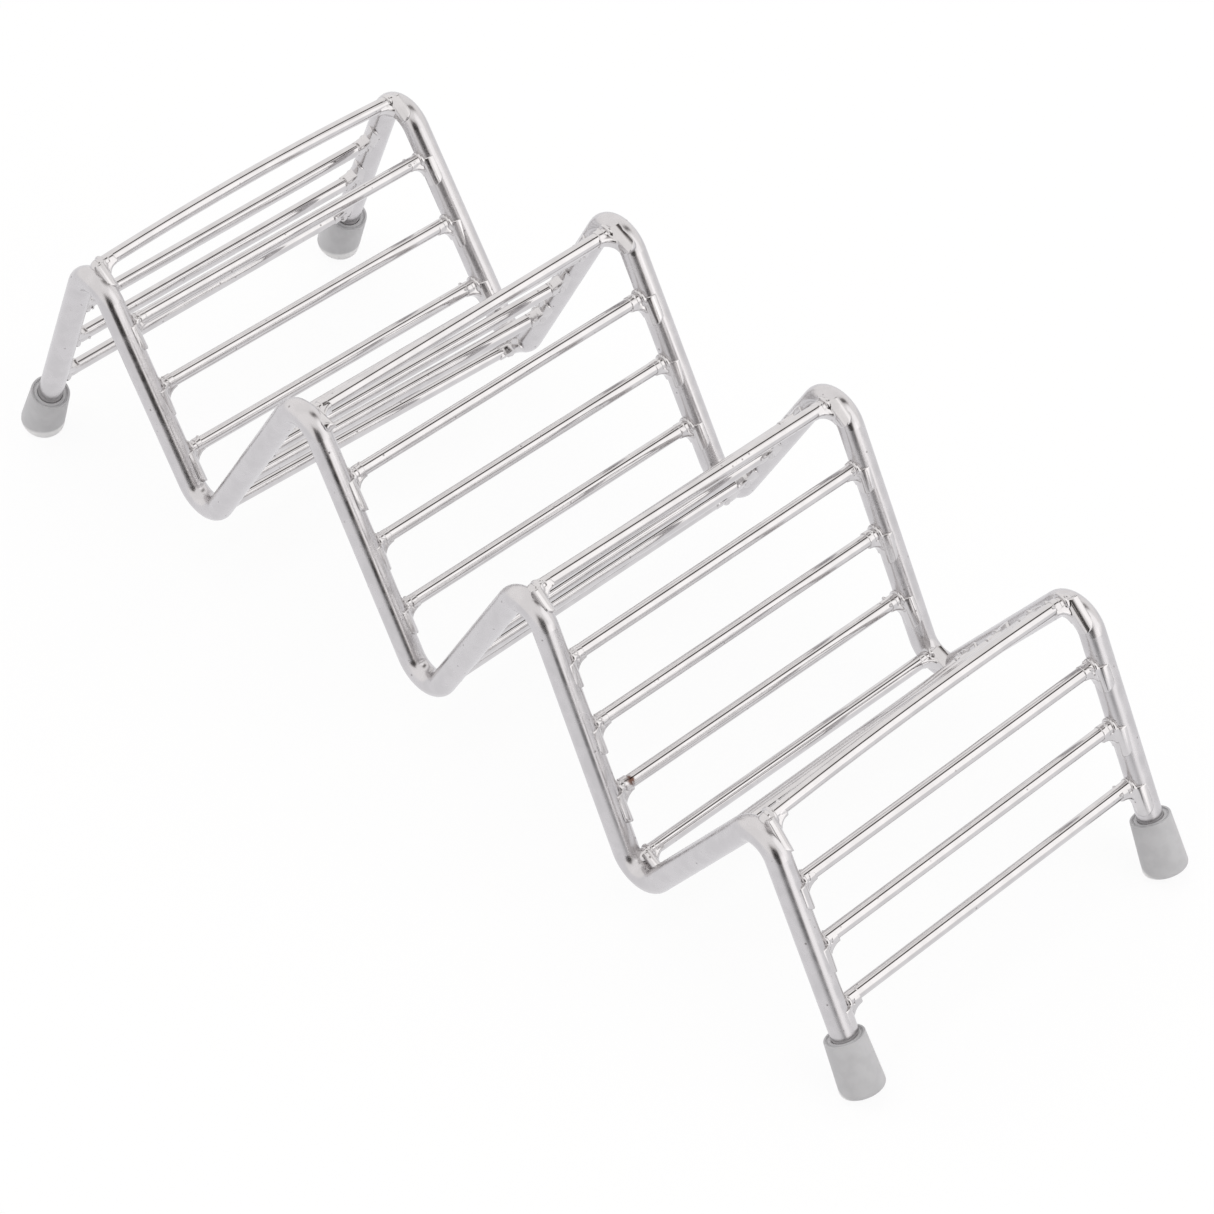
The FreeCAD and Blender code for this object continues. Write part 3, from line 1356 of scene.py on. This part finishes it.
    def painted_floor_shade_and_light(self, sheet: NodeSheet) -> bpy.types.NodeSocket:
        """Painted shade and painted light on the floor, seen only in reflections: darker away from the
        object, towards the dark upright.

        Args:
            sheet: The floor's node sheet.

        Returns:
            1 in the painted shade, 0 elsewhere and below 0 in the painted light in front of the bright
            wall.
        """
        x, y, _ = sheet.split(sheet.add("ShaderNodeTexCoord").outputs["Object"])
        x = sheet.math("SUBTRACT", x, self.floor_middle[0])
        y = sheet.math("SUBTRACT", y, self.floor_middle[1])
        far = sheet.level_length(x, y)
        to_dark = sheet.cosine(x, y, self.floor_dark_side)
        to_wall = sheet.cosine(x, y, (1.0, 0.0))
        # Painted shade in a wedge towards the dark upright, and painted light in front of the bright wall.
        dark = sheet.product(sheet.ramp(to_dark, 0.955, 0.99), sheet.ramp(far, 0.12, 0.3))
        bright = sheet.product(sheet.ramp(to_wall, 0.93, 0.985), sheet.ramp(far, 0.2, 0.6))
        return sheet.math("SUBTRACT", dark, sheet.product(bright, 0.5))

    def floor(self) -> None:
        """A white floor that shows only a faint shadow, and in reflections carries a painted shade and a
        painted light.
        """
        bpy.ops.mesh.primitive_plane_add(size=self.floor_size, location=(0.0, 0.0, 0.0))
        floor = bpy.context.object
        floor.name = "floor"
        material = bpy.data.materials.new("white_floor")
        material.cycles.emission_sampling = "NONE"
        material.use_nodes = True
        material.node_tree.nodes.clear()
        sheet = NodeSheet(material.node_tree)
        matt = sheet.result("ShaderNodeBsdfDiffuse", (0.85, 0.85, 0.85))
        faint = sheet.result("ShaderNodeBsdfDiffuse", (0.12, 0.12, 0.12))
        glow = sheet.result("ShaderNodeEmission", (1.0, 1.0, 1.0), self.floor_glow)
        seen = sheet.result("ShaderNodeAddShader", faint, glow)
        # Painted shade and painted light on the floor, seen only by glossy rays.
        painted_floor_darkening = sheet.product(self.painted_floor_shade_and_light(sheet), self.mirrored_depth)
        strength = sheet.math("SUBTRACT", self.mirrored_level, painted_floor_darkening)
        mirrored = sheet.result("ShaderNodeEmission", (0.985, 0.98, 1.0), strength)
        rays = sheet.add("ShaderNodeLightPath").outputs
        unseen = sheet.result("ShaderNodeMixShader", rays["Is Glossy Ray"], matt, mirrored)
        whole = sheet.result("ShaderNodeMixShader", rays["Is Camera Ray"], unseen, seen)
        sheet.feed(whole, sheet.add("ShaderNodeOutputMaterial").inputs[0])
        floor.data.materials.append(material)

    def build(self) -> None:
        """Build all of it."""
        self.camera()
        self.surround()
        self.lamp()
        self.floor()
        view = bpy.context.scene.view_settings
        view.view_transform = "Standard"


def main() -> None:
    """Build the scene."""
    logging.basicConfig(level=logging.INFO, format="%(message)s")
    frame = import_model()
    bpy.ops.object.select_all(action="DESELECT")
    Studio().build()
    surface, tint = SteelSurface(), HeatTint()
    rod_colour, wire_colour = (0.63, 0.615, 0.62), (0.66, 0.645, 0.645)
    rod = SteelFinish("polished_rod", surface, tint, rod_colour, 0.24, 0.1).material()
    bar = SteelFinish("polished_bar", surface, tint, wire_colour, 0.07, 0.03, drawn=True).material()
    weld = SteelFinish("weld_metal", surface, tint, wire_colour, 0.16, 0.08).material()
    rubber = RubberFinish().material()
    BareSteel(rod, bar).dress(frame["nodes"])
    layout, bead, caps = Layout(), WeldBead(), RubberCaps()
    models = {(kind, run): bead.model(kind, run) for kind in BeadKind for run in Run}
    upright = caps.upright()
    for side_rod in layout.rods:
        beads = WeldBeads(layout, bead).build(models, side_rod, weld)
        LOG.info("%s: %d faces", beads.name, len(beads.data.polygons))
        for side in Side:
            cap = caps.build(side_rod, side, upright, rubber)
            LOG.info("%s: %d faces", cap.name, len(cap.data.polygons))
    for model in (*models.values(), upright):
        bpy.data.objects.remove(model)


if __name__ == "__main__":
    main()
